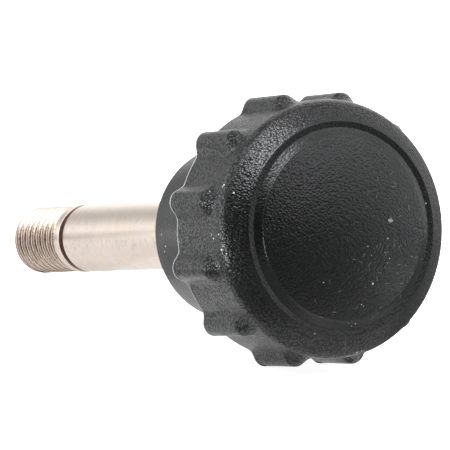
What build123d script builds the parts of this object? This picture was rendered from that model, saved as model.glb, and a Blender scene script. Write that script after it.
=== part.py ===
from build123d import *
import os
from math import atan2, cos, degrees, hypot, pi, radians, sin, sqrt

# Knob with a moulded lobed head and a long turned stud, millimetres.
# Own frame while it is shaped: the turning axis is Z, the hub's rear face is
# z = 0, the domed face looks along +Z and the stud leaves along -Z.

# ---- driving dimensions ----------------------------------------------------
SHANK_R = 5.0            # plain shank and thread crest
STUD_OUT = 55.0          # stud length in front of the hub
TIP_CHAMFER = 0.75       # lead-in on the threaded tip
GROOVE_Z = -40.8         # middle of the ring groove
GROOVE_W = 1.2
GROOVE_R = 4.3

KEY_AF = 15.0            # hexagon that locks the stud in the moulding
KEY_Z0, KEY_Z1 = 9.0, 16.0
STUD_IN = 22.0           # how far the stud reaches into the head
STUD_IN_CHAMFER = 0.6

HUB_R0 = 12.55           # hub at its rear edge
HUB_R1 = 12.90           # hub at the lobes' back face
HUB_EDGE = 0.4
HUB_ROOT = 1.5

BACK_Z = 16.4            # back face of the lobed skirt, on the mould split
SKIRT_R0 = 18.28         # valley between the lobes at the back face
RIM_R = 18.58            # widest part of the skirt, under the face
RING_R, RING_Z = 15.40, 31.65   # outer edge of the sunk ring
SHOULDER_R = 17.85       # the sloping outer ring turns down here
SLOPE0, SLOPE1 = 32.0, 42.0     # its fall at the sunk ring and at the shoulder, degrees
LEDGE_R, LEDGE_Z = 14.45, 31.57
STEP_R, STEP_Z = 13.30, 32.30
DOME_R = 60.0            # crown of the raised middle

LOBES = 12
LOBE_R = 1.90            # half-round section of a lobe
LOBE_CREST0 = 19.90      # crest at the back face
LOBE_CREST1 = 20.13      # crest where the nose starts
LOBE_NOSE_Z = 25.20
LOBE_NOSE_L = 2.30       # the crest falls to the round-over over this length
NOSE_FULL = 0.27         # fullness of the nose curve
LOBE_ROOT = 0.90

# ---- stud ------------------------------------------------------------------
with BuildPart() as stud_b:
    with BuildSketch(Plane.XZ):
        with BuildLine():
            Polyline(
                (0, -STUD_OUT),
                (SHANK_R - TIP_CHAMFER, -STUD_OUT),
                (SHANK_R, -STUD_OUT + TIP_CHAMFER),
                (SHANK_R, GROOVE_Z - GROOVE_W / 2),
                (GROOVE_R, GROOVE_Z - GROOVE_W / 2),
                (GROOVE_R, GROOVE_Z + GROOVE_W / 2),
                (SHANK_R, GROOVE_Z + GROOVE_W / 2),
                (SHANK_R, STUD_IN - STUD_IN_CHAMFER),
                (SHANK_R - STUD_IN_CHAMFER, STUD_IN),
                (0, STUD_IN),
                close=True,
            )
        make_face()
    revolve(axis=Axis.Z)
    with BuildSketch(Plane.XY.offset(KEY_Z0)):
        RegularPolygon(KEY_AF / 2, 6, major_radius=False)
    extrude(amount=KEY_Z1 - KEY_Z0)
stud = stud_b.part.solid()

# ---- head: turned form -----------------------------------------------------
s0, s1 = radians(SLOPE0), radians(SLOPE1)
ring_bow = (SHOULDER_R - RING_R) / (sin(s1) - sin(s0))
shoulder_z = RING_Z - ring_bow * (cos(s0) - cos(s1))
rim_round = (RIM_R - SHOULDER_R) / (1 - sin(s1))
rim_z = shoulder_z - rim_round * cos(s1)
sm, sn = (s0 + s1) / 2, (s1 + pi / 2) / 2
crown_z = STEP_Z + DOME_R - sqrt(DOME_R**2 - STEP_R**2)
half = STEP_R / 2
half_z = crown_z - DOME_R + sqrt(DOME_R**2 - half**2)

with BuildPart() as head_b:
    with BuildSketch(Plane.XZ) as prof:
        with BuildLine():
            Polyline(
                (0, crown_z), (0, 0), (HUB_R0, 0), (HUB_R1, BACK_Z),
                (SKIRT_R0, BACK_Z), (RIM_R, rim_z),
            )
            ThreePointArc(
                (RIM_R, rim_z),
                (RIM_R - rim_round * (1 - sin(sn)), rim_z + rim_round * cos(sn)),
                (SHOULDER_R, shoulder_z),
            )
            ThreePointArc(
                (SHOULDER_R, shoulder_z),
                (RING_R + ring_bow * (sin(sm) - sin(s0)), RING_Z - ring_bow * (cos(s0) - cos(sm))),
                (RING_R, RING_Z),
            )
            Polyline((RING_R, RING_Z), (LEDGE_R, LEDGE_Z), (STEP_R, STEP_Z))
            ThreePointArc((STEP_R, STEP_Z), (half, half_z), (0, crown_z))
        make_face()

        def corner(x, z):
            return min(prof.vertices(), key=lambda v: hypot(v.X - x, v.Y - z))

        fillet(corner(HUB_R0, 0), HUB_EDGE)
        fillet(corner(HUB_R1, BACK_Z), HUB_ROOT)
        fillet(corner(RING_R, RING_Z), 0.35)
        fillet(corner(LEDGE_R, LEDGE_Z), 0.60)
        fillet(corner(STEP_R, STEP_Z), 0.35)
    revolve(axis=Axis.Z)
body = head_b.part

# ---- head: lobes -----------------------------------------------------------
lean = degrees(atan2(LOBE_CREST1 - LOBE_CREST0, LOBE_NOSE_Z - BACK_Z))
run = hypot(LOBE_CREST1 - LOBE_CREST0, LOBE_NOSE_Z - BACK_Z)
with BuildPart() as lobe_b:
    with BuildSketch(Plane.XZ):
        with BuildLine():
            Bezier(
                (LOBE_R, run), (LOBE_R, run + LOBE_NOSE_L * NOSE_FULL),
                (LOBE_R * NOSE_FULL, run + LOBE_NOSE_L), (0, run + LOBE_NOSE_L),
            )
            Polyline((0, run + LOBE_NOSE_L), (0, -2.0), (LOBE_R, -2.0), (LOBE_R, run))
        make_face()
    revolve(axis=Axis.Z)
lobe = lobe_b.part.rotate(Axis.Y, lean).translate((LOBE_CREST0 - LOBE_R, 0, BACK_Z))
lobe = split(lobe, bisect_by=Plane.XY.offset(BACK_Z), keep=Keep.TOP)

step = 360.0 / LOBES
head = body
for k in range(LOBES):
    head = head + lobe.rotate(Axis.Z, step * (k + 0.5))

# small concave root where each lobe grows out of the skirt
roots = []
for e in head.edges():
    c = e @ 0.5
    r = hypot(c.X, c.Y)
    off = (degrees(atan2(c.Y, c.X)) - step / 2) % step
    off = min(off, step - off)
    tall = e.bounding_box().size.Z > 1e-3
    if c.Z > BACK_Z + 0.01 and tall and 18.0 < r < 18.8 and off < 9.0:
        roots.append(e)
head = head.fillet(LOBE_ROOT, roots)
head = (head - stud).solid()

# ---- at rest on its side: two lobes and the stud's tip on the floor --------
turn = radians(step / 2)
section = hypot(LOBE_R / cos(radians(lean)) * cos(turn), LOBE_R * sin(turn))
sole = (LOBE_CREST0 - LOBE_R) * cos(turn) + section
tip_z = -STUD_OUT + TIP_CHAMFER
lean_rest = atan2(sole - SHANK_R, BACK_Z - tip_z)
drop = sole * cos(lean_rest) - BACK_Z * sin(lean_rest)

head = head.rotate(Axis.Y, 90 - degrees(lean_rest)).translate((0, 0, drop))
stud = stud.rotate(Axis.Y, 90 - degrees(lean_rest)).translate((0, 0, drop))

bb = Compound([head, stud]).bounding_box(optimal=True)
shift = (-(bb.min.X + bb.max.X) / 2, 0, 0)
head = head.translate(shift)
stud = stud.translate(shift)

head.label = "knob_head"
stud.label = "stud"

os.makedirs("parts", exist_ok=True)
export_step(head, "parts/knob_head.step")
export_step(stud, "parts/stud.step")

print("lean", round(degrees(lean_rest), 4), "drop", round(drop, 4), "shift", round(shift[0], 4))
for p in (head, stud):
    b = p.bounding_box(optimal=True)
    print(p.label, p.is_valid, round(p.volume, 2), p.center(CenterOf.MASS), b)
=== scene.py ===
import math

import bpy
import numpy as np
from mathutils import Matrix, Vector


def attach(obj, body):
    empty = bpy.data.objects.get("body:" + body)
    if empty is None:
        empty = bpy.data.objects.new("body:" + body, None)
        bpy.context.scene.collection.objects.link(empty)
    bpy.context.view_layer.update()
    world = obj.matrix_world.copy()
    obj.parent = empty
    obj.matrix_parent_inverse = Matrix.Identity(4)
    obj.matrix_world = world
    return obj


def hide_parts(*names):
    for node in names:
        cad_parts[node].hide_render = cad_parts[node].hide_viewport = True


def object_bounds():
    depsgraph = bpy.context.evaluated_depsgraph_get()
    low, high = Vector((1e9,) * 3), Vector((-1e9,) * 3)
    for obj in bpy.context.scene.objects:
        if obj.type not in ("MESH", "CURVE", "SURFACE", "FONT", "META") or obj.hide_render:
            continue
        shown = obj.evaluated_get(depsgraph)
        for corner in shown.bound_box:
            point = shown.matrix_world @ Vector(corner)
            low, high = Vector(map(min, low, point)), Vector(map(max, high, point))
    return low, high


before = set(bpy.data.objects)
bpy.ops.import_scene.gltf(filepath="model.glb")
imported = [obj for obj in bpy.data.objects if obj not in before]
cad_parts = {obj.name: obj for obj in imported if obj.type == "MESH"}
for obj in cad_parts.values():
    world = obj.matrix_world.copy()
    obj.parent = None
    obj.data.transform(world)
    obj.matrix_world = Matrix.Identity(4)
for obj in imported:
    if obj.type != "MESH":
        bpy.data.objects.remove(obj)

CAD_LO, CAD_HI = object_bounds()

# ---------------------------------------------------------------------------
# Sizes in millimetres, the same as in the solids. The knob is shaped about its
# own turning axis Z (hub's rear face z = 0, domed face along +Z, stud along -Z)
# and then laid on its side as it rests on the floor.
# ---------------------------------------------------------------------------
SHANK_R, STUD_OUT, TIP_CHAMFER = 5.0, 55.0, 0.75
GROOVE_Z, GROOVE_W, GROOVE_R = -40.8, 1.2, 4.3
KEY_AF, KEY_Z0, KEY_Z1, STUD_IN, STUD_IN_CHAMFER = 15.0, 9.0, 16.0, 22.0, 0.6
HUB_R0, HUB_R1, HUB_EDGE, HUB_ROOT = 12.55, 12.90, 0.4, 1.5
BACK_Z, SKIRT_R0 = 16.4, 18.28
RIM_R, SHOULDER_R = 18.58, 17.85
RING_R, RING_Z = 15.40, 31.65
SLOPE0, SLOPE1 = math.radians(32.0), math.radians(42.0)
LEDGE_R, LEDGE_Z = 14.45, 31.57
STEP_R, STEP_Z, DOME_R = 13.30, 32.30, 60.0
LOBES, LOBE_R = 12, 1.90
LOBE_CREST0, LOBE_CREST1 = 19.90, 20.13
LOBE_NOSE_Z, LOBE_NOSE_L, NOSE_FULL = 25.20, 2.30, 0.27
LOBE_ROOT = 0.90
PITCH, THREAD_DEPTH, THREAD_END = 1.5, 0.86, -42.9

# ---- the resting place: two lobes and the stud's tip on the floor -----------
lean_lobe = math.atan2(LOBE_CREST1 - LOBE_CREST0, LOBE_NOSE_Z - BACK_Z)
half_step = math.radians(180.0 / LOBES)
section = math.hypot(LOBE_R / math.cos(lean_lobe) * math.cos(half_step), LOBE_R * math.sin(half_step))
sole = (LOBE_CREST0 - LOBE_R) * math.cos(half_step) + section
tip_z = -STUD_OUT + TIP_CHAMFER
LEAN = math.atan2(sole - SHANK_R, BACK_Z - tip_z)
DROP = sole * math.cos(LEAN) - BACK_Z * math.sin(LEAN)
SHIFT = CAD_LO.x * 1000 + STUD_OUT * math.cos(LEAN) + (SHANK_R - TIP_CHAMFER) * math.sin(LEAN)
ct, st = math.cos(LEAN), math.sin(LEAN)


def at_rest(v):
    """From the knob's own axis to the row frame, millimetres."""
    w = np.stack([v[:, 2] * ct + v[:, 0] * st + SHIFT, v[:, 1], v[:, 2] * st - v[:, 0] * ct + DROP], 1)
    return np.clip(w, np.array([CAD_LO.x, CAD_LO.y, 0.0]) * 1000, np.array(CAD_HI) * 1000)


# ---------------------------------------------------------------------------
# mesh helpers: a closed form is a stack of rings from one pole to the other
# ---------------------------------------------------------------------------
def stitch(rings, pole_a, pole_b):
    """rings: list of (n, 3) arrays, n halving or doubling between neighbours. Returns vertices and faces."""
    verts = [np.array([pole_a])]
    starts, count = [], 1
    for r in rings:
        starts.append(count)
        verts.append(r)
        count += len(r)
    verts.append(np.array([pole_b]))
    last = count
    faces = []
    n = len(rings[0])
    for i in range(n):
        faces.append((0, starts[0] + i, starts[0] + (i + 1) % n))
    for k in range(len(rings) - 1):
        a, b, na, nb = starts[k], starts[k + 1], len(rings[k]), len(rings[k + 1])
        if na == nb:
            for i in range(na):
                j = (i + 1) % na
                faces.append((a + i, b + i, b + j, a + j))
        elif nb == 2 * na:
            for i in range(na):
                j = (i + 1) % na
                p, q, r = b + 2 * i, b + 2 * i + 1, b + (2 * i + 2) % nb
                faces.append((a + i, p, q))
                faces.append((a + i, q, a + j))
                faces.append((a + j, q, r))
        elif na == 2 * nb:
            for i in range(nb):
                j = (i + 1) % nb
                p, q, r = a + 2 * i, a + 2 * i + 1, a + (2 * i + 2) % na
                faces.append((p, b + i, q))
                faces.append((q, b + i, b + j))
                faces.append((q, b + j, r))
        else:
            raise ValueError("rings do not match")
    n = len(rings[-1])
    s = starts[-1]
    for i in range(n):
        faces.append((s + i, last, s + (i + 1) % n))
    return np.vstack(verts), faces


def make_piece(name, verts_mm, faces):
    mesh = bpy.data.meshes.new(name)
    mesh.from_pydata((at_rest(verts_mm) / 1000.0).tolist(), [], faces)
    mesh.validate()
    mesh.update()
    mesh.polygons.foreach_set("use_smooth", [True] * len(mesh.polygons))
    obj = bpy.data.objects.new(name, mesh)
    bpy.context.scene.collection.objects.link(obj)
    return obj


def rounded(points, n=6):
    """Polyline of (x, z, radius) with its corners rounded: list of (x, z)."""
    out = []
    for i, (x, z, r) in enumerate(points):
        if r <= 0 or i in (0, len(points) - 1):
            out.append((x, z))
            continue
        p = np.array([x, z])
        a = np.array(points[i - 1][:2]) - p
        b = np.array(points[i + 1][:2]) - p
        a, b = a / np.linalg.norm(a), b / np.linalg.norm(b)
        ang = math.acos(max(-1, min(1, float(a @ b))))
        t = r / math.tan(ang / 2)
        c = p + (a + b) / np.linalg.norm(a + b) * (r / math.sin(ang / 2))
        u, v = p + a * t - c, p + b * t - c
        full = math.acos(max(-1, min(1, float(u @ v) / (r * r))))
        for k in range(n + 1):
            s = k / n
            w = (math.sin((1 - s) * full) * u + math.sin(s * full) * v) / math.sin(full)
            out.append(tuple(c + w))
    return out


# ---------------------------------------------------------------------------
# head
# ---------------------------------------------------------------------------
OFFSETS = [0, 0.95, 1.85, 2.7, 3.4, 3.95, 4.4, 4.8, 5.15, 5.5, 5.85, 6.2, 6.6, 7.05,
           7.6, 8.3, 9.2, 10.4, 11.8, 13.4, 15.0]
STEP = 360.0 / LOBES
ANGLES = []
for k in range(LOBES):
    c = STEP * (k + 0.5)
    ANGLES += [c + o for o in OFFSETS[:-1]]
    ANGLES += [c + STEP - o for o in reversed(OFFSETS[1:])]
ANGLES = np.radians(np.array(ANGLES))
COLS = len(ANGLES)
HALF = np.array(OFFSETS)
FOLD = np.concatenate([np.arange(20), 20 - np.arange(20)])
FOLD = np.tile(FOLD, LOBES)


def circle(n, r, z):
    a = ANGLES[:: COLS // n]
    r = r if np.ndim(r) else np.full(n, float(r))
    return np.stack([r * np.cos(a), r * np.sin(a), np.full(n, float(z))], 1)


# the outer ring of the face: a gently bowed slope that turns down at the shoulder
RING_BOW = (SHOULDER_R - RING_R) / (math.sin(SLOPE1) - math.sin(SLOPE0))
SHOULDER_Z = RING_Z - RING_BOW * (math.cos(SLOPE0) - math.cos(SLOPE1))
RIM_ROUND = (RIM_R - SHOULDER_R) / (1 - math.sin(SLOPE1))
RIM_Z = SHOULDER_Z - RIM_ROUND * math.cos(SLOPE1)


def body_distance(r, z):
    """Signed distance to the skirt and its round-over."""
    skirt = r - (SKIRT_R0 + (RIM_R - SKIRT_R0) * (z - BACK_Z) / (RIM_Z - BACK_Z))
    over = np.hypot(r - (RIM_R - RIM_ROUND), z - RIM_Z) - RIM_ROUND
    return np.where(z <= RIM_Z, skirt, over)


run = math.hypot(LOBE_CREST1 - LOBE_CREST0, LOBE_NOSE_Z - BACK_Z)
tt = np.linspace(0, 1, 161)
nose_rho = LOBE_R * ((1 - tt) ** 3 + 3 * (1 - tt) ** 2 * tt + 3 * (1 - tt) * tt ** 2 * NOSE_FULL)
nose_s = run + LOBE_NOSE_L * (3 * (1 - tt) ** 2 * tt * NOSE_FULL + 3 * (1 - tt) * tt ** 2 + tt ** 3)


def lobe_distance(r, off, z):
    """Signed distance to one lobe, at an angle off its middle."""
    x, y = r * np.cos(off) - (LOBE_CREST0 - LOBE_R), r * np.sin(off)
    dz = z - BACK_Z
    s = x * math.sin(lean_lobe) + dz * math.cos(lean_lobe)
    rho = np.hypot(x * math.cos(lean_lobe) - dz * math.sin(lean_lobe), y)
    straight = rho - LOBE_R
    flat_s, flat_r = s.ravel(), rho.ravel()
    d = np.empty_like(flat_s)
    for i0 in range(0, len(flat_s), 20000):
        a, b = flat_s[i0:i0 + 20000, None], flat_r[i0:i0 + 20000, None]
        q = (a - nose_s) ** 2 + (b - nose_rho) ** 2
        near = np.argmin(q, 1)
        inside = flat_r[i0:i0 + 20000] < np.interp(flat_s[i0:i0 + 20000], nose_s, nose_rho, right=-1.0)
        d[i0:i0 + 20000] = np.sqrt(q[np.arange(len(near)), near]) * np.where(inside, -1, 1)
    return np.where(s <= run, straight, d.reshape(s.shape))


def lobed_radius(zs, root=LOBE_ROOT):
    """Outermost radius of skirt and lobe joined with a small concave root: (len(zs), 21) for the half step."""
    zs = np.asarray(zs, float)
    grid = np.linspace(20.6, 14.0, 1321)
    off = np.radians(HALF)
    out = np.empty((len(zs), len(off)))
    for i, z in enumerate(zs):
        r = np.broadcast_to(grid[:, None], (len(grid), len(off)))
        zz = np.full(r.shape, z)
        a = body_distance(r, zz)
        b = lobe_distance(r, np.broadcast_to(off, r.shape), zz)
        u, v = np.maximum(root - a, 0), np.maximum(root - b, 0)
        d = np.maximum(root, np.minimum(a, b)) - np.hypot(u, v)
        hit = np.argmax(d <= 0, 0)
        c = np.arange(len(off))
        d1, d0 = d[hit, c], d[hit - 1, c]
        f = d0 / (d0 - d1)
        out[i] = grid[hit - 1] + f * (grid[hit] - grid[hit - 1])
    return out


crown_z = STEP_Z + DOME_R - math.sqrt(DOME_R ** 2 - STEP_R ** 2)


def dome_z(r):
    return crown_z - DOME_R + math.sqrt(DOME_R ** 2 - r * r)


head_rings = []
# crown of the face
for n, radii in ((60, (0.35, 0.75, 1.2)), (120, (1.7, 2.3, 2.9, 3.6)), (240, (4.3, 5.0, 5.7, 6.4, 7.1)),
                 (480, (7.8, 8.5, 9.2, 9.9, 10.5, 11.1, 11.6, 12.05, 12.4, 12.7))):
    for r in radii:
        head_rings.append(circle(n, r, dome_z(r)))
# step, sunk ring, and up to the round-over
tangent = (RING_R + 0.45 * math.cos(SLOPE0), RING_Z - 0.45 * math.sin(SLOPE0))
line = rounded([
    (12.8, dome_z(12.8), 0), (STEP_R - 0.06, dome_z(STEP_R - 0.06), 0.26), (STEP_R + 0.12, STEP_Z - 0.21, 0.20),
    (LEDGE_R, LEDGE_Z - 0.03, 0.30), (RING_R, RING_Z, 0.28), (tangent[0], tangent[1], 0),
], 6)
for r, z in line[:-1]:
    head_rings.append(circle(480, r, z))
# sloping outer ring, then the turn into the skirt
for a in np.linspace(SLOPE0 + math.radians(1.6), SLOPE1, 11):
    head_rings.append(circle(480, RING_R + RING_BOW * (math.sin(a) - math.sin(SLOPE0)),
                             RING_Z - RING_BOW * (math.cos(SLOPE0) - math.cos(a))))
for a in np.linspace(SLOPE1, math.pi / 2, 17)[1:-1]:
    z = RIM_Z + RIM_ROUND * math.cos(a)
    if z > 28.34:
        head_rings.append(circle(480, RIM_R - RIM_ROUND * (1 - math.sin(a)), z))
# nose and lobes
low = BACK_Z + 0.30
zs = np.concatenate([
    np.linspace(28.28, 27.30, 19), np.linspace(27.30, 25.0, 28)[1:], np.linspace(25.0, low, 18)[1:],
])
lobed = lobed_radius(zs)
for z, r in zip(zs, lobed):
    head_rings.append(circle(480, r[FOLD], z))
# back edge with a thin proud line left by the mould split
edge_r = lobed_radius([BACK_Z + 0.2])[0][FOLD]
for dr, z in ((0.0, 0.26), (0.015, 0.21), (0.05, 0.17), (0.05, 0.11), (0.02, 0.05), (-0.04, 0.015), (-0.12, 0.0)):
    head_rings.append(circle(480, edge_r + dr, BACK_Z + z))
# back face, hub and its rear face
for s in (0.12, 0.3, 0.55, 0.8):
    head_rings.append(circle(480, (edge_r - 0.12) * (1 - s) + 15.2 * s, BACK_Z))
head_rings.append(circle(240, 14.9, BACK_Z))
hub = rounded([(14.6, BACK_Z, 0), (HUB_R1, BACK_Z, HUB_ROOT), (HUB_R0, 0, HUB_EDGE), (10.9, 0, 0)], 7)
for i, (r, z) in enumerate(hub):
    head_rings.append(circle(240, r, z))
    if i == 8:
        for f in (0.2, 0.4, 0.6, 0.8):
            q = hub[9]
            head_rings.append(circle(240, r + (q[0] - r) * f, z + (q[1] - z) * f))
# rear face and the seat of the stud
for n, r, z in ((240, 9.0, 0), (120, 7.2, 0), (120, 5.6, 0), (120, 5.0, 0), (120, 5.0, 3), (120, 5.0, 6), (120, 5.0, KEY_Z0)):
    head_rings.append(circle(n, r, z))
ang = ANGLES[::4]
hexr = (KEY_AF / 2) / np.cos(((ang - math.radians(30)) % math.radians(60)) - math.radians(30))
for z in (KEY_Z0, KEY_Z0 + 3.5, KEY_Z1):
    head_rings.append(circle(120, hexr, z))
for r, z in ((5.0, KEY_Z1), (5.0, STUD_IN - STUD_IN_CHAMFER), (SHANK_R - STUD_IN_CHAMFER, STUD_IN), (2.2, STUD_IN)):
    head_rings.append(circle(120, r, z))

hv, hf = stitch(head_rings, (0, 0, crown_z), (0, 0, STUD_IN))
head = make_piece("knob_head_moulding", hv, hf)

# ---------------------------------------------------------------------------
# stud: turned shank, ring groove, plain band and a rolled thread
# ---------------------------------------------------------------------------
N = 192
TH = np.linspace(0, 2 * math.pi, N, endpoint=False)


def ring(r, z, n=N):
    a = TH[:: N // n]
    r = r if np.ndim(r) else np.full(n, float(r))
    return np.stack([r * np.cos(a), r * np.sin(a), np.full(n, float(z))], 1)


def thread_radius(z):
    """Rolled 60 degree thread, its crests a little rounded, running out at both ends."""
    ph = (z / PITCH - TH / (2 * math.pi)) % 1.0
    d = np.abs(ph - 0.5) * 2                      # 0 at the root, 1 at the crest
    flat_root, flat_crest = 0.14, 0.12
    v = np.clip((d - flat_root) / (1 - flat_root - flat_crest), 0, 1)
    v = v * 0.72 + 0.28 * v * v * (3 - 2 * v)
    gone = np.clip((THREAD_END - z) / 0.45, 0, 1)
    r = SHANK_R - (0.10 + THREAD_DEPTH * (1 - v)) * gone
    # crests nicked and a little uneven
    r += gone * v * (0.016 * np.sin(TH * 7 + z * 5.3) + 0.012 * np.sin(TH * 19 - z * 11.7)
                     + 0.010 * np.sin(TH * 43 + z * 7.1) - 0.02)
    # the last half turn is left plain, with a small broken edge
    s = z + STUD_OUT
    plain = SHANK_R - 0.18
    r = np.maximum(r, plain - 0.9 * np.clip((s - 0.46) / 0.16, 0, 1))
    return np.minimum(r, plain - 0.14 + s)


stud_rings = [ring(1.2, -STUD_OUT, 48), ring(2.2, -STUD_OUT, 96), ring(3.0, -STUD_OUT), ring(3.6, -STUD_OUT)]
rows = np.arange(-STUD_OUT, THREAD_END + 1e-6, PITCH / 32)
for z in rows:
    r = thread_radius(z)
    stud_rings.append(ring(r, z))
prof = rounded([
    (SHANK_R - 0.02, THREAD_END + 0.04, 0), (SHANK_R, THREAD_END + 0.3, 0),
    (SHANK_R, GROOVE_Z - GROOVE_W / 2, 0.05), (GROOVE_R, GROOVE_Z - GROOVE_W / 2, 0.10),
    (GROOVE_R, GROOVE_Z + GROOVE_W / 2, 0.10), (SHANK_R, GROOVE_Z + GROOVE_W / 2, 0.05), (SHANK_R, -39.5, 0),
], 4)
for r, z in prof:
    stud_rings.append(ring(r, z))
for z in np.linspace(-38.0, 0.0, 25):
    stud_rings.append(ring(SHANK_R, z))
stud_rings.append(ring(SHANK_R, KEY_Z0))
hexs = (KEY_AF / 2) / np.cos(((TH - math.radians(30)) % math.radians(60)) - math.radians(30))
for z in (KEY_Z0, KEY_Z0 + 3.5, KEY_Z1):
    stud_rings.append(ring(hexs, z))
for r, z in ((SHANK_R, KEY_Z1), (SHANK_R, STUD_IN - STUD_IN_CHAMFER), (SHANK_R - STUD_IN_CHAMFER, STUD_IN)):
    stud_rings.append(ring(r, z))
stud_rings += [ring(2.4, STUD_IN, 96), ring(1.2, STUD_IN, 48)]
sv, sf = stitch(stud_rings, (0, 0, -STUD_OUT), (0, 0, STUD_IN))
sf = [tuple(reversed(f)) for f in sf]
stud = make_piece("stud_turned", sv, sf)


# ---------------------------------------------------------------------------
# materials
# ---------------------------------------------------------------------------
class Nodes:
    def __init__(self, tree):
        self.t = tree
        tree.nodes.clear()

    def new(self, kind, inputs=None, **props):
        n = self.t.nodes.new(kind)
        for k, v in props.items():
            setattr(n, k, v)
        for k, v in (inputs or {}).items():
            if isinstance(v, bpy.types.NodeSocket):
                self.t.links.new(v, n.inputs[k])
            else:
                n.inputs[k].default_value = v
        return n

    def math(self, op, a, b=None, c=None, clamp=False):
        ins = {0: a}
        if b is not None:
            ins[1] = b
        if c is not None:
            ins[2] = c
        return self.new("ShaderNodeMath", ins, operation=op, use_clamp=clamp).outputs[0]

    def vmath(self, op, a, b=None, scale=None):
        ins = {0: a}
        if b is not None:
            ins[1] = b
        n = self.new("ShaderNodeVectorMath", ins, operation=op)
        if scale is not None:
            n.inputs["Scale"].default_value = scale
        return n.outputs["Value"] if op in ("LENGTH", "DISTANCE", "DOT_PRODUCT") else n.outputs[0]

    def step(self, x, lo, hi, a=0.0, b=1.0):
        return self.new("ShaderNodeMapRange", {0: x, 1: lo, 2: hi, 3: a, 4: b},
                        interpolation_type="SMOOTHSTEP", clamp=True).outputs[0]

    def noise(self, vec, scale, detail=2.0, rough=0.5, distortion=0.0):
        return self.new("ShaderNodeTexNoise", {"Vector": vec, "Scale": scale, "Detail": detail,
                                               "Roughness": rough, "Distortion": distortion}).outputs["Fac"]

    def voronoi(self, vec, scale, feature="F1", smooth=0.6, rand=1.0):
        n = self.new("ShaderNodeTexVoronoi", {"Vector": vec, "Scale": scale, "Randomness": rand}, feature=feature)
        if feature == "SMOOTH_F1":
            n.inputs["Smoothness"].default_value = smooth
        return n

    def ramp(self, fac, stops):
        n = self.new("ShaderNodeValToRGB", {0: fac})
        e = n.color_ramp.elements
        e[0].position, e[0].color = stops[0][0], (*stops[0][1], 1)
        e[1].position, e[1].color = stops[-1][0], (*stops[-1][1], 1)
        for p, c in stops[1:-1]:
            x = e.new(p)
            x.color = (*c, 1)
        return n.outputs[0]

    def mix(self, fac, a, b, kind="MIX"):
        n = self.new("ShaderNodeMix", data_type="RGBA", blend_type=kind)
        for sock, v in ((n.inputs[0], fac), (n.inputs[6], a), (n.inputs[7], b)):
            if isinstance(v, bpy.types.NodeSocket):
                self.t.links.new(v, sock)
            else:
                sock.default_value = v if not isinstance(v, tuple) or len(v) == 4 else (*v, 1)
        return n.outputs[2]


def own_axis(g):
    """Position about the knob's turning axis, millimetres."""
    tc = g.new("ShaderNodeTexCoord")
    q = g.vmath("SUBTRACT", g.vmath("SCALE", tc.outputs["Object"], scale=1000.0), (SHIFT, 0.0, DROP))
    x = g.vmath("DOT_PRODUCT", q, (st, 0.0, -ct))
    y = g.vmath("DOT_PRODUCT", q, (0.0, 1.0, 0.0))
    z = g.vmath("DOT_PRODUCT", q, (ct, 0.0, st))
    p = g.new("ShaderNodeCombineXYZ", {0: x, 1: y, 2: z}).outputs[0]
    r = g.math("SQRT", g.math("ADD", g.math("MULTIPLY", x, x), g.math("MULTIPLY", y, y)))
    return p, x, y, z, r


# dust and marks on the head: place about the knob's own axis, and half size
DUST = [
    (-6.93, -17.22, 28.48, 0.14), (-6.68, -17.34, 28.27, 0.10), (-5.74, -16.61, 30.05, 0.14), (-9.05, -8.74, 1.73, 0.06),
    (2.31, -12.39, 2.48, 0.09), (1.56, -12.52, 2.99, 0.12), (-0.19, -12.59, 2.12, 0.09), (0.63, -18.54, 27.11, 0.13),
    (0.05, -18.54, 26.65, 0.10), (0.09, -18.54, 28.57, 0.12), (2.24, -18.33, 28.86, 0.13), (2.83, -17.91, 29.50, 0.10),
    (4.64, -18.12, 27.75, 0.08), (0.88, -18.27, 16.98, 0.07), (8.09, 3.96, 33.11, 0.15), (17.83, 2.92, 29.57, 0.12),
    (17.61, 3.70, 29.66, 0.10), (-6.11, -18.24, 26.10, 0.08), (-3.03, 14.35, 31.56, 0.09), (1.73, 6.61, 33.40, 0.09),
    (0.98, 13.94, 31.80, 0.06), (4.96, 13.06, 31.79, 0.06), (4.59, 6.86, 33.22, 0.07), (7.57, -4.25, 33.16, 0.08),
    (14.79, -5.07, 31.50, 0.08), (13.65, 1.51, 31.92, 0.09), (13.98, 0.91, 31.77, 0.06), (18.35, -2.84, 28.35, 0.06),
    (10.97, 2.15, 32.74, 0.08), (11.21, 2.51, 32.68, 0.06), (2.74, 3.10, 33.65, 0.06), (4.04, 3.69, 33.54, 0.06),
    (3.70, 5.97, 33.38, 0.06), (5.22, 6.50, 33.21, 0.06), (-18.30, 4.18, 27.36, 0.06),
]


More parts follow.
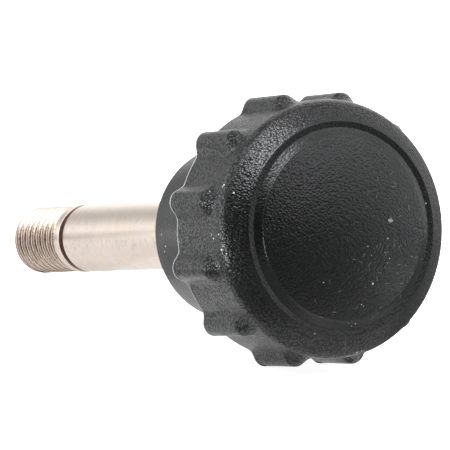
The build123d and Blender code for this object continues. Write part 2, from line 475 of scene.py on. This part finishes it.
def plastic():
    m = bpy.data.materials.new("black_moulding")
    m.use_nodes = True
    g = Nodes(m.node_tree)
    p, x, y, z, r = own_axis(g)
    one_less = lambda v: g.math("SUBTRACT", 1.0, v)
    both = lambda a, b: g.math("MULTIPLY", a, b)

    # where the mould was grained: face and lobe noses strongly, skirt faintly, hub hardly
    face = g.step(z, 29.20, 29.70)
    nose = both(g.step(z, 25.1, 26.0), g.step(r, 18.70, 18.90))
    skirt = both(g.step(z, 16.2, 16.4), one_less(face))
    sunk = both(g.step(r, 13.05, 13.50), g.step(r, 15.40, 15.95, 1.0, 0.0))
    zone = both(g.step(r, 13.4, 16.2, 0.95, 1.55), g.math("MULTIPLY_ADD", sunk, -0.35, 1.0))
    strong = g.math("MAXIMUM", both(face, zone), both(nose, 2.7))
    wob = g.new("ShaderNodeTexNoise", {"Vector": p, "Scale": 0.9, "Detail": 2.0}).outputs["Color"]
    jit = g.vmath("SUBTRACT", wob, (0.5, 0.5, 0.5))
    pw = g.vmath("ADD", p, g.vmath("SCALE", jit, scale=0.35))
    cells = g.voronoi(pw, 2.90, "SMOOTH_F1", 0.28).outputs["Distance"]
    fine = g.noise(p, 5.5, 2.0, 0.5)
    grain = g.math("ADD", both(both(cells, cells), -0.85), both(fine, 0.28))
    depth = g.math("MAXIMUM", strong, g.math("MULTIPLY_ADD", skirt, 1.40, 0.15))
    bump = g.new("ShaderNodeBump", {"Height": both(grain, depth), "Strength": 1.0, "Distance": 0.000054})

    # thin pale line along the mould split: pale flash, made paler still as a painted highlight of the edge catching
    # light
    flash_and_highlight = both(both(g.step(z, BACK_Z + 0.01, BACK_Z + 0.05), g.step(z, BACK_Z + 0.22, BACK_Z + 0.29, 1.0, 0.0)), g.step(r, 16.8, 17.4))
    flash_and_highlight = both(flash_and_highlight, g.step(g.noise(p, 1.1, 3.0, 0.6), 0.25, 0.60, 0.55, 1.0))

    # dust specks
    pd = g.vmath("ADD", p, g.vmath("SCALE", g.vmath("SUBTRACT", g.new("ShaderNodeTexNoise", {"Vector": p, "Scale": 5.0, "Detail": 1.0}).outputs["Color"],
                                                   (0.5, 0.5, 0.5)), scale=0.16))
    near = None
    for cx, cy, cz, size in DUST:
        d = g.math("SUBTRACT", g.vmath("DISTANCE", pd, (cx, cy, cz)), size)
        near = d if near is None else g.math("MINIMUM", near, d)
    dust = g.step(near, -0.04, 0.03, 1.0, 0.0)
    # one pale rubbed spot, and a fine scratch near the rim
    q = g.vmath("MULTIPLY", g.vmath("SUBTRACT", pd, (-0.83, 7.22, 33.35)), (1.55, 1.0, 1.0))
    spot = g.step(g.vmath("LENGTH", q), 0.34, 0.50, 1.0, 0.0)
    off = g.math("ABSOLUTE", g.math("SUBTRACT", y, g.math("MULTIPLY_ADD", x, 0.404, 0.045 - 15.727 * 0.404)))
    cut = both(both(g.step(off, 0.02, 0.07, 1.0, 0.0), g.step(x, 15.1, 15.6)), both(g.step(x, 17.5, 17.9, 1.0, 0.0), face))
    # short hair marks scattered over the lower right of the face
    hairs = None
    for size, seed, width in ((0.40, 3.7, 0.050), (0.58, 11.2, 0.042)):
        flat = g.new("ShaderNodeCombineXYZ", {0: x, 1: y, 2: seed}).outputs[0]
        v = g.voronoi(flat, size, "F1", rand=1.0)
        away = g.vmath("SUBTRACT", flat, v.outputs["Position"])
        rgb = g.new("ShaderNodeSeparateColor", {0: v.outputs["Color"]})
        turn = g.new("ShaderNodeVectorRotate", {"Vector": away, "Angle": both(rgb.outputs[0], 6.2832)}, rotation_type="Z_AXIS").outputs[0]
        u = g.new("ShaderNodeSeparateXYZ", {0: turn}).outputs
        bend = g.math("ABSOLUTE", g.math("SUBTRACT", u[1], both(both(u[0], u[0]), g.math("MULTIPLY_ADD", rgb.outputs[1], 2.4, -1.2))))
        line = both(g.step(bend, width * 0.6, width * 1.8, 1.0, 0.0), g.step(g.math("ABSOLUTE", u[0]), 0.22, 0.40, 1.0, 0.0))
        line = both(line, g.step(rgb.outputs[2], 0.64, 0.72))
        hairs = line if hairs is None else g.math("MAXIMUM", hairs, line)
    there = g.step(g.math("ADD", g.math("MULTIPLY", x, 0.55), g.math("MULTIPLY", y, 0.83)), -2.5, 3.0)
    hairs = both(both(hairs, there), g.step(r, 13.6, 14.2, 1.0, 0.0))
    # painted shade: a small near-black spot standing for the shade in a little dent near a lobe's root
    dent_painted_shade = g.step(g.vmath("DISTANCE", pd, (7.10, -16.95, 17.54)), 0.10, 0.22, 1.0, 0.0)

    tone = g.noise(p, 0.22, 3.0, 0.55)
    col = g.ramp(tone, [(0.30, (0.0030, 0.0033, 0.0033)), (0.70, (0.0044, 0.0048, 0.0048))])
    dull = g.ramp(tone, [(0.30, (0.0068, 0.0070, 0.0074)), (0.70, (0.0096, 0.0098, 0.0103))])
    grip = both(g.step(z, 28.4, 29.6, 1.0, 0.0), one_less(nose))
    col = g.mix(grip, col, dull)
    col = g.mix(both(hairs, 0.62), col, (0.13, 0.13, 0.13))
    col = g.mix(both(cut, 0.6), col, (0.10, 0.10, 0.10))
    col = g.mix(both(spot, 0.90), col, (0.26, 0.265, 0.275))
    # pale flash line, partly a painted highlight of the split edge
    col = g.mix(flash_and_highlight, col, (0.40, 0.405, 0.41))
    col = g.mix(dust, col, (0.62, 0.60, 0.56))
    # near-black spot: painted shade of the dent
    col = g.mix(dent_painted_shade, col, (0.001, 0.001, 0.001))
    rough = g.math("MULTIPLY_ADD", g.noise(p, 0.6, 3.0, 0.6), 0.08, g.math("MULTIPLY_ADD", grip, 0.10, 0.20))
    rough = g.math("MAXIMUM", rough, both(g.math("MAXIMUM", g.math("MAXIMUM", dust, spot), g.math("MAXIMUM", flash_and_highlight, dent_painted_shade)), 0.7))
    # painted shade: the pits of the grain get a lower specular level than its tops, standing in for the shade in their
    # hollows
    hollow_shade_swing = g.math("MINIMUM", g.math("MULTIPLY_ADD", depth, 0.20, 0.06), 0.30)
    hollow_shade_swing = both(hollow_shade_swing, g.math("MULTIPLY_ADD", face, g.step(r, 15.5, 16.3, -0.72, -0.38), 1.0))
    gloss_with_hollow_shade = g.math("MULTIPLY_ADD", g.step(grain, -0.16, 0.12, -1.0, 1.0), hollow_shade_swing, 0.52)
    b = g.new("ShaderNodeBsdfPrincipled", {"Base Color": col, "Roughness": rough, "IOR": 1.5, "Specular IOR Level": gloss_with_hollow_shade,
                                           "Specular Tint": (0.965, 0.975, 1.0, 1.0), "Normal": bump.outputs[0]})
    out = g.new("ShaderNodeOutputMaterial")
    g.t.links.new(b.outputs[0], out.inputs[0])
    return m


def metal():
    m = bpy.data.materials.new("stud_metal")
    m.use_nodes = True
    g = Nodes(m.node_tree)
    p, x, y, z, r = own_axis(g)
    both = lambda a, b: g.math("MULTIPLY", a, b)
    patch = g.noise(p, 0.30, 3.0, 0.6)
    blot = g.noise(p, 1.2, 4.0, 0.65)
    turned = g.noise(g.vmath("MULTIPLY", p, (0.12, 0.12, 7.0)), 1.0, 3.0, 0.6)
    specks = g.noise(p, 5.0, 2.0, 0.6)

    # warm plating with coppery and greyer patches
    plate = g.ramp(patch, [(0.30, (0.610, 0.540, 0.488)), (0.5, (0.655, 0.575, 0.512)), (0.70, (0.690, 0.610, 0.550))])
    plate = g.mix(g.step(blot, 0.48, 0.66, 0.0, 0.90), plate, (0.690, 0.555, 0.455))
    plate = g.mix(g.step(blot, 0.47, 0.30, 0.0, 0.90), plate, (0.530, 0.500, 0.472))
    plate = g.mix(g.step(specks, 0.40, 0.70, 0.0, 0.16), plate, (0.430, 0.370, 0.320))
    # a rubbed row of dull ticks along one side
    row = both(g.step(g.math("ABSOLUTE", g.math("SUBTRACT", x, 0.9)), 0.3, 0.9, 1.0, 0.0), g.step(y, -3.0, -2.0, 1.0, 0.0))
    tick = g.step(g.noise(g.vmath("MULTIPLY", p, (1.2, 1.2, 1.9)), 1.0, 3.0, 0.6), 0.50, 0.64)
    plate = g.mix(both(both(row, tick), 0.60), plate, (0.40, 0.37, 0.34))

    # thread: brown left in the roots, crests rubbed bright; groove dark brown
    thread = g.step(z, THREAD_END - 0.15, THREAD_END, 1.0, 0.0)
    # painted light: the root brown and the overall brown tint are kept off the upper side of the thread, so that side
    # reads as lit
    below_painted_lit_top = g.step(x, -3.9, -1.4)
    rn = g.math("MULTIPLY_ADD", g.math("SUBTRACT", specks, 0.5), 0.30, r)
    deep = g.step(rn, 4.42, 4.56, 1.0, 0.0)
    hem = g.step(g.math("ABSOLUTE", g.math("SUBTRACT", rn, 4.77)), 0.03, 0.09, 0.75, 0.0)
    # painted shade: the last half millimetre of the thread at its end is browned to stand for the shade on the end
    tip_painted_shade = g.step(z, -STUD_OUT + 0.30, -STUD_OUT + 0.60, 0.8, 0.0)
    low = both(both(thread, below_painted_lit_top), g.math("MAXIMUM", g.math("MAXIMUM", deep, hem), tip_painted_shade))
    col = g.mix(both(both(thread, below_painted_lit_top), 0.35), plate, (0.50, 0.38, 0.29))
    col = g.mix(low, col, (0.120, 0.064, 0.036))
    groove = both(g.step(g.math("ABSOLUTE", g.math("SUBTRACT", z, GROOVE_Z)), GROOVE_W / 2 - 0.03, GROOVE_W / 2 + 0.03, 1.0, 0.0),
                  g.step(r, SHANK_R - 0.10, SHANK_R - 0.03, 1.0, 0.0))
    col = g.mix(groove, col, (0.165, 0.066, 0.030))

    rough = g.math("MULTIPLY_ADD", turned, 0.10, 0.26)
    rough = g.math("ADD", rough, both(g.math("MAXIMUM", thread, groove), 0.10))
    h = g.math("ADD", both(turned, 0.35), g.math("ADD", both(blot, 0.6), both(specks, g.math("MULTIPLY_ADD", thread, 2.2, 0.30))))
    bump = g.new("ShaderNodeBump", {"Height": h, "Strength": 1.0, "Distance": 0.00002})
    b = g.new("ShaderNodeBsdfPrincipled", {"Base Color": col, "Metallic": 1.0, "Roughness": rough, "Normal": bump.outputs[0]})
    out = g.new("ShaderNodeOutputMaterial")
    g.t.links.new(b.outputs[0], out.inputs[0])
    return m


head.data.materials.append(plastic())
stud.data.materials.append(metal())
for piece, node, slot in ((head, "knob_head", "black_moulding"), (stud, "stud", "stud_metal")):
    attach(piece, "root")
    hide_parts(node)

# ---------------------------------------------------------------------------
# camera, floor and light
# ---------------------------------------------------------------------------
RIGHT = Vector((0.5036908, 0.86194426, 0.05785907))
UP = Vector((-0.17846621, 0.038291, 0.9832007))
BACK = Vector((0.84524871, -0.50555504, 0.17311475))
cam = bpy.data.cameras.new("camera")
cam.sensor_width = 36.0
cam.lens = 960.0
cam.clip_start, cam.clip_end = 0.05, 50.0
cam_obj = bpy.data.objects.new("camera", cam)
bpy.context.scene.collection.objects.link(cam_obj)
cam_obj.matrix_world = Matrix((
    (RIGHT.x, UP.x, BACK.x, 1.4808272),
    (RIGHT.y, UP.y, BACK.y, -0.8803919),
    (RIGHT.z, UP.z, BACK.z, 0.3180225),
    (0, 0, 0, 1),
))
bpy.context.scene.camera = cam_obj
bpy.context.scene.view_settings.view_transform = "Standard"
bpy.context.scene.view_settings.look = "None"

# floor: a broad pale sheet
fm = bpy.data.meshes.new("floor")
S = 6.0
fm.from_pydata([(-S, -S, 0), (S, -S, 0), (S, S, 0), (-S, S, 0)], [], [(0, 1, 2, 3)])
floor = bpy.data.objects.new("floor", fm)
bpy.context.scene.collection.objects.link(floor)
floor.location.z = -0.00002
mat = bpy.data.materials.new("floor_pale")
mat.use_nodes = True
g = Nodes(mat.node_tree)
lp = g.new("ShaderNodeLightPath")
dif = g.new("ShaderNodeBsdfDiffuse", {"Color": (0.82, 0.82, 0.82, 1)})
grey = g.new("ShaderNodeBsdfDiffuse", {"Color": (0.24, 0.24, 0.24, 1)})
emi = g.new("ShaderNodeEmission", {"Color": (1, 1, 1, 1), "Strength": 0.9})
both = g.new("ShaderNodeAddShader", {0: dif.outputs[0], 1: emi.outputs[0]})
mx = g.new("ShaderNodeMixShader", {0: lp.outputs["Is Camera Ray"], 1: grey.outputs[0], 2: both.outputs[0]})
o = g.new("ShaderNodeOutputMaterial")
g.t.links.new(mx.outputs[0], o.inputs[0])
fm.materials.append(mat)

# soft panels round the knob, and dark behind the viewer: direction from the knob to the
# picture's right, upwards and towards the viewer, brightness, tightness
PANELS = [
    ((0.070, 0.765, 0.640), 14.50, 38.0),
    ((-0.969, 0.203, -0.140), 2.95, 9.1),
    ((0.771, 0.547, 0.327), 2.20, 22.0),
    ((0.655, 0.330, 0.680), 3.80, 120.0),
    ((-0.930, -0.020, 0.350), 2.20, 30.0),
    ((0.981, -0.031, -0.193), 2.03, 9.1),
    ((-0.473, 0.807, 0.353), 1.98, 9.1),
    ((0.030, 0.435, -0.900), 1.60, 9.1),
    ((0.310, 0.888, -0.340), 1.26, 4.4),
]
# bright cards lying on the floor: across, towards the viewer (mm), side (mm), brightness
CARDS = [
    (-100, 100, 100, 12.0),
    (-100, 0, 100, 0.60),
    (-108, -36, 36, 5.83),
    (108, 36, 36, 4.66),
    (0, 0, 36, 1.25),
    (0, -36, 36, 0.95),
    (-36, -36, 36, 0.82),
    (-36, 0, 36, 0.58),
    (-11, 29, 22, 0.90),
    (11, 29, 22, 0.75),
    (-350, -190, 480, 0.40),
    (36, 36, 36, 0.46),
]
world = bpy.data.worlds.new("studio")
bpy.context.scene.world = world
world.use_nodes = True
g = Nodes(world.node_tree)
tc = g.new("ShaderNodeTexCoord")
level = None
for (dx, dy, dz), bright, tight in PANELS:
    d = (RIGHT * dx + UP * dy + BACK * dz).normalized()
    dot = g.vmath("DOT_PRODUCT", tc.outputs["Generated"], tuple(d))
    lobe = g.math("EXPONENT", g.math("MULTIPLY_ADD", dot, tight, -tight))
    level = g.math("MULTIPLY_ADD", lobe, bright, 0.0 if level is None else level)
lp = g.new("ShaderNodeLightPath")
seen = g.new("ShaderNodeBackground", {"Color": (1, 1, 1, 1), "Strength": 1.0})
room = g.new("ShaderNodeBackground", {"Color": (1, 1, 1, 1), "Strength": level})
mx = g.new("ShaderNodeMixShader", {0: lp.outputs["Is Camera Ray"], 1: room.outputs[0], 2: seen.outputs[0]})
o = g.new("ShaderNodeOutputWorld")
g.t.links.new(mx.outputs[0], o.inputs[0])

ACROSS = Vector((RIGHT.x, RIGHT.y, 0)).normalized()
AHEAD = Vector((BACK.x, BACK.y, 0)).normalized()
for k, (a, b, side, bright) in enumerate(CARDS):
    l = bpy.data.lights.new("card_%d" % k, "AREA")
    l.shape, l.size, l.size_y = "RECTANGLE", side / 1000, side / 1000
    l.energy = math.pi * (side / 1000) ** 2 * bright
    ob = bpy.data.objects.new("card_%d" % k, l)
    bpy.context.scene.collection.objects.link(ob)
    ob.location = Vector((0.012, 0, 0.0004)) + ACROSS * (a / 1000) + AHEAD * (b / 1000)
    ob.rotation_euler = (math.pi, 0, math.atan2(ACROSS.y, ACROSS.x))
    ob.visible_camera = False
